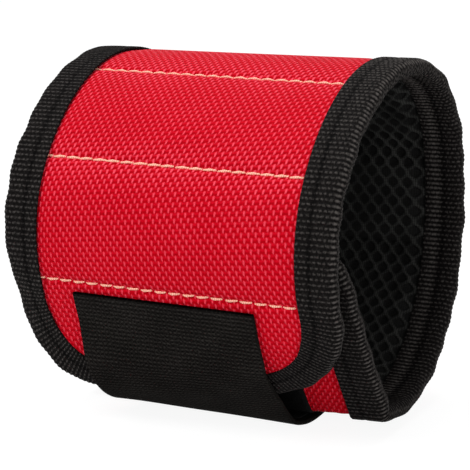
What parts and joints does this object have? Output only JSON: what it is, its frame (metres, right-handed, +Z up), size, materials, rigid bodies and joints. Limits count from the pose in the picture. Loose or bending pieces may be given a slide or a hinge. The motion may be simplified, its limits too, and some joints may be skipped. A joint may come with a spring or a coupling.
{
  "type": "magnetic wristband",
  "caption": "Padded cloth wristband with flat magnets sewn into its panels, bound edges, an air-mesh lining and a hook-and-loop strap, closed into a ring.",
  "frame": {"origin": "on the surface that the closed band stands on, under the middle of its box", "axes": "+X along the ring's axis, -Y towards the strap at the front, +Z up"},
  "size_m": [0.09, 0.0842, 0.0908],
  "materials": {
    "cover": "coarse woven synthetic cloth with a slight sheen",
    "lining": "open air mesh, matte",
    "binding": "ribbed woven tape",
    "thread": "twisted sewing thread",
    "magnet": "plated, smooth",
    "strap": "fine woven webbing",
    "hook": "hook tape",
    "loop": "loop tape, fuzzy"
  },
  "bodies": {
    "flap": {"flap_cover": "cover", "flap_lining": "lining", "flap_binding": "binding", "strap_base": "strap"},
    "panel_1": {"panel_1_cover": "cover", "panel_1_lining": "lining", "panel_1_binding_left": "binding", "panel_1_binding_right": "binding", "magnet_1_left": "magnet", "magnet_1_right": "magnet", "seam_thread_1": "thread"},
    "panel_2": {"panel_2_cover": "cover", "panel_2_lining": "lining", "panel_2_binding_left": "binding", "panel_2_binding_right": "binding", "magnet_2_left": "magnet", "magnet_2_right": "magnet", "seam_thread_2": "thread"},
    "panel_3": {"panel_3_cover": "cover", "panel_3_lining": "lining", "panel_3_binding_left": "binding", "panel_3_binding_right": "binding", "magnet_3_left": "magnet", "magnet_3_right": "magnet", "seam_thread_3": "thread"},
    "panel_4": {"panel_4_cover": "cover", "panel_4_lining": "lining", "panel_4_binding_left": "binding", "panel_4_binding_right": "binding", "magnet_4_left": "magnet", "magnet_4_right": "magnet", "seam_thread_4": "thread"},
    "panel_5": {"panel_5_cover": "cover", "panel_5_lining": "lining", "panel_5_binding_left": "binding", "panel_5_binding_right": "binding", "magnet_5_left": "magnet", "magnet_5_right": "magnet", "seam_thread_5": "thread"},
    "panel_6": {"panel_6_cover": "cover", "panel_6_lining": "lining", "panel_6_binding_left": "binding", "panel_6_binding_right": "binding", "seam_thread_6": "thread"},
    "panel_7": {"panel_7_cover": "cover", "panel_7_lining": "lining", "panel_7_binding_left": "binding", "panel_7_binding_right": "binding", "seam_thread_7": "thread", "seam_thread_8": "thread", "loop_patch": "loop"},
    "inner_end": {"inner_end_cover": "cover", "inner_end_lining": "lining", "inner_end_binding": "binding", "loop_patch_end": "loop"},
    "strap_tail": {"strap_tail": "strap", "hook_pad": "hook"}
  },
  "joints": [
    {"name": "seam_7", "type": "hinge", "parent": "panel_7", "child": "panel_6", "pos_m": [0, 0.01959, 0.00751], "axis": [-1, 0, 0], "range_deg": [0, 30]},
    {"name": "seam_6", "type": "hinge", "parent": "panel_6", "child": "panel_5", "pos_m": [0, 0.03901, 0.03237], "axis": [-1, 0, 0], "range_deg": [0, 24]},
    {"name": "seam_5", "type": "hinge", "parent": "panel_5", "child": "panel_4", "pos_m": [0, 0.04095, 0.06398], "axis": [-1, 0, 0], "range_deg": [0, 30]},
    {"name": "seam_4", "type": "hinge", "parent": "panel_4", "child": "panel_3", "pos_m": [0, 0.02093, 0.08784], "axis": [-1, 0, 0], "range_deg": [0, 34.5]},
    {"name": "seam_3", "type": "hinge", "parent": "panel_3", "child": "panel_2", "pos_m": [0, -0.0106, 0.08811], "axis": [-1, 0, 0], "range_deg": [0, 37.5]},
    {"name": "seam_2", "type": "hinge", "parent": "panel_2", "child": "panel_1", "pos_m": [0, -0.03569, 0.06887], "axis": [-1, 0, 0], "range_deg": [0, 43.5]},
    {"name": "seam_1", "type": "hinge", "parent": "panel_1", "child": "flap", "pos_m": [0, -0.04058, 0.03794], "axis": [-1, 0, 0], "range_deg": [0, 36]},
    {"name": "seam_8", "type": "hinge", "parent": "panel_7", "child": "inner_end", "pos_m": [0, -0.01188, 0.0027], "axis": [1, 0, 0], "range_deg": [0, 54]},
    {"name": "strap_peel", "type": "hinge", "parent": "flap", "child": "strap_tail", "pos_m": [0, -0.02762, 0.00822], "axis": [-1, 0, 0], "range_deg": [0, 140]}
  ],
  "couplings": [
    {"joint": "seam_6", "follows": "seam_7", "ratio": 0.8},
    {"joint": "seam_5", "follows": "seam_7", "ratio": 1},
    {"joint": "seam_4", "follows": "seam_7", "ratio": 1.15},
    {"joint": "seam_3", "follows": "seam_7", "ratio": 1.25},
    {"joint": "seam_2", "follows": "seam_7", "ratio": 1.45},
    {"joint": "seam_1", "follows": "seam_7", "ratio": 1.2},
    {"joint": "seam_8", "follows": "seam_7", "ratio": 1.8}
  ]
}
